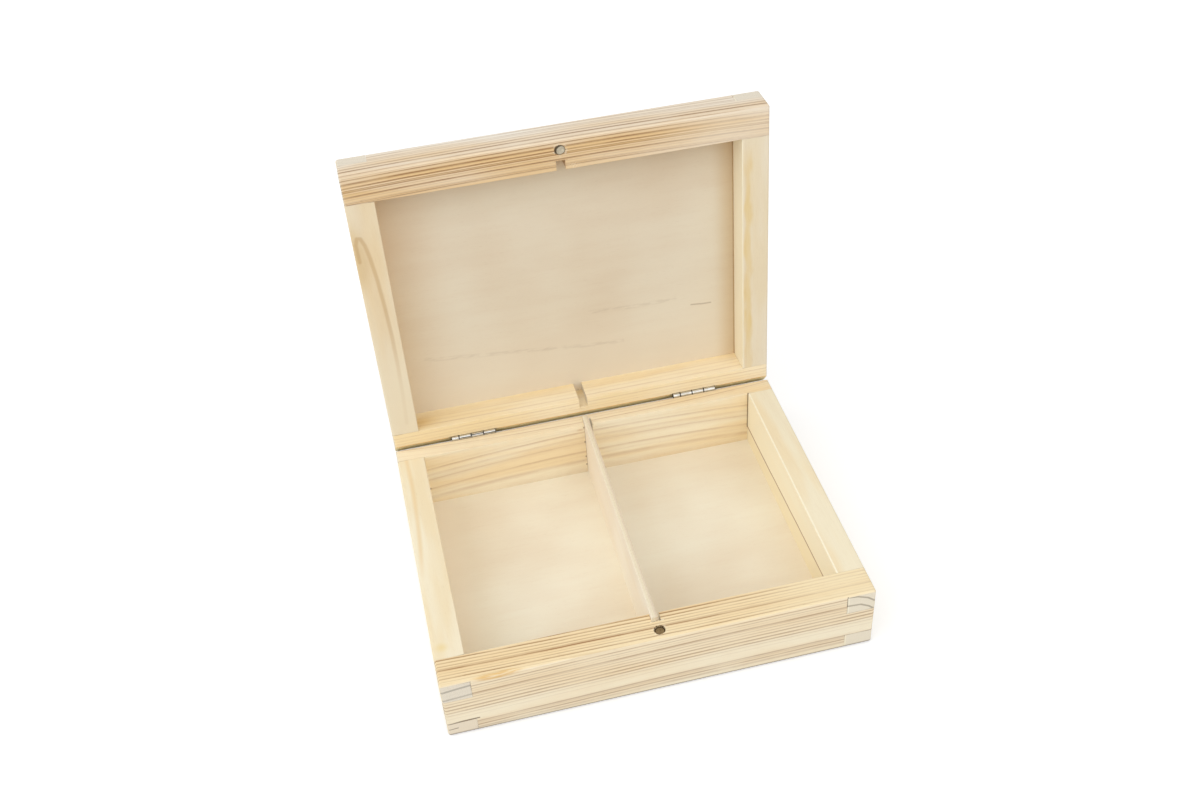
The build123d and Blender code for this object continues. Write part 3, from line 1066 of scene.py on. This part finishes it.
nickel = metal("hinge_nickel", tone(226, 224, 218), tone(196, 188, 172), 0.3, 2.5, extras=hinge_oil_and_shade)
pin_steel = metal("pin_steel", tone(110, 106, 98), tone(74, 66, 54), 0.4, 1.5)
tarnished = metal("tarnished_plating", tone(172, 150, 112), tone(116, 94, 62), 0.5, 1.2, 3.0, magnet_rim)
grey_plating = metal("grey_plating", tone(196, 188, 168), tone(160, 150, 130), 0.4, 1.6, 8.0, crooked_shade)

# %% [markdown]
# ## Giving each piece its finish
#
# The pieces of the frame keep their meshes. A finish is given to a piece by putting it in the piece's
# material slot. A list by name is longer than a rule, but it shows at a glance which board is which.

# %% Assign the finishes
finishes = {
    "base_front_rail": base_front_pine,
    "base_back_rail": base_back_pine,
    "base_left_rail": base_left_pine,
    "base_right_rail": base_right_pine,
    "lid_front_rail": lid_front_pine,
    "lid_back_rail": lid_back_pine,
    "lid_left_rail": lid_left_pine,
    "lid_right_rail": lid_right_pine,
    "base_floor_panel": floor_ply,
    "lid_panel": lid_ply,
    "divider": divider_ply,
    "base_magnet": tarnished,
    "lid_magnet": grey_plating,
}
for side in ("left", "right"):
    finishes[side + "_hinge_base_leaf"] = nickel
    finishes[side + "_hinge_lid_leaf"] = nickel
    finishes[side + "_hinge_pin"] = pin_steel
for name, material in finishes.items():
    piece = frame["nodes"][name]
    piece.data.materials.clear()
    piece.data.materials.append(material)
print(len(finishes), "of", len(frame["nodes"]), "pieces have their finish")

# %% [markdown]
# ## The floor
#
# The photograph shows the box on white, with only a thin shadow under its front edge. A white floor in
# strong light would throw that light back at the box. This one shows more light to the camera than it
# sends to the box, so it looks white without brightening the wood.

# %% Floor
floor_size = 6.0
floor_gap = 0.00005
near_glow, far_glow = 0.35, 0.7
bpy.ops.mesh.primitive_plane_add(size=floor_size, location=(0, 0, -floor_gap))
floor = bpy.context.object
floor.name = "floor"
paper = Finish("white_paper")
seen = paper.add("ShaderNodeLightPath", None, None, "Is Camera Ray")
for kind in ("Is Glossy Ray", "Is Transmission Ray"):
    seen = seen.most(paper.add("ShaderNodeLightPath", None, None, kind))
diffuse = paper.add("ShaderNodeBsdfDiffuse", None, {"Color": (0.8, 0.8, 0.8, 1)})
away = paper.length(paper.add("ShaderNodeTexCoord", None, None, "Object")).step(0.3, 1.5)
glow_strength = seen * (away * (far_glow - near_glow) + near_glow)
glow = paper.add("ShaderNodeEmission", None, {"Color": (1, 1, 1, 1), "Strength": glow_strength})
both = paper.add("ShaderNodeAddShader", None, {0: diffuse, 1: glow})
paper.add("ShaderNodeOutputMaterial", None, {"Surface": both})
floor.data.materials.append(paper.owner)
print("floor", floor_size, "m wide,", len(paper.nodes), "nodes in its finish")

# %% [markdown]
# ## The light
#
# The light in the photograph is soft and comes from a large lamp high on the left, with a weaker one in
# front. The sky is white to the camera and a little weaker to the box. A ring of small lamps could give
# the same brightness, but would leave a shadow for each lamp in the corners of the compartments.

# %% Sky and lamps
sky_strength = 0.64
lamp_target = Vector((0, 0.03, 0.06))
sky = Finish("soft_sky", bpy.data.worlds.new("soft_sky"))
bpy.context.scene.world = sky.owner
to_camera = sky.add("ShaderNodeLightPath", None, None, "Is Camera Ray")
strength = sky.add("ShaderNodeMapRange", None, {"Value": to_camera, "To Min": sky_strength, "To Max": 1.0})
background = sky.add("ShaderNodeBackground", None, {"Color": (1.0, 1.0, 1.0, 1), "Strength": strength})
sky.add("ShaderNodeOutputWorld", None, {"Surface": background})


def softbox(name, place, size, power):
    """A square lamp that faces the box."""
    data = bpy.data.lights.new(name, "AREA")
    data.shape = "SQUARE"
    data.size = size
    data.energy = power
    lamp = bpy.data.objects.new(name, data)
    lamp.location = place
    lamp.rotation_euler = (lamp_target - place).to_track_quat("-Z", "Y").to_euler()
    bpy.context.scene.collection.objects.link(lamp)
    print(name, "lamp", round((lamp_target - place).length, 2), "m from the box, with", power, "W")


softbox("key", Vector((-1.2, -0.3, 1.35)), 2.4, 17.0)
softbox("fill", Vector((0.6, -1.35, 1.25)), 1.6, 8.0)
bpy.context.scene.view_settings.view_transform = "Standard"

# %% [markdown]
# ## Sizes
#
# The finished model has to keep the size of the construction.
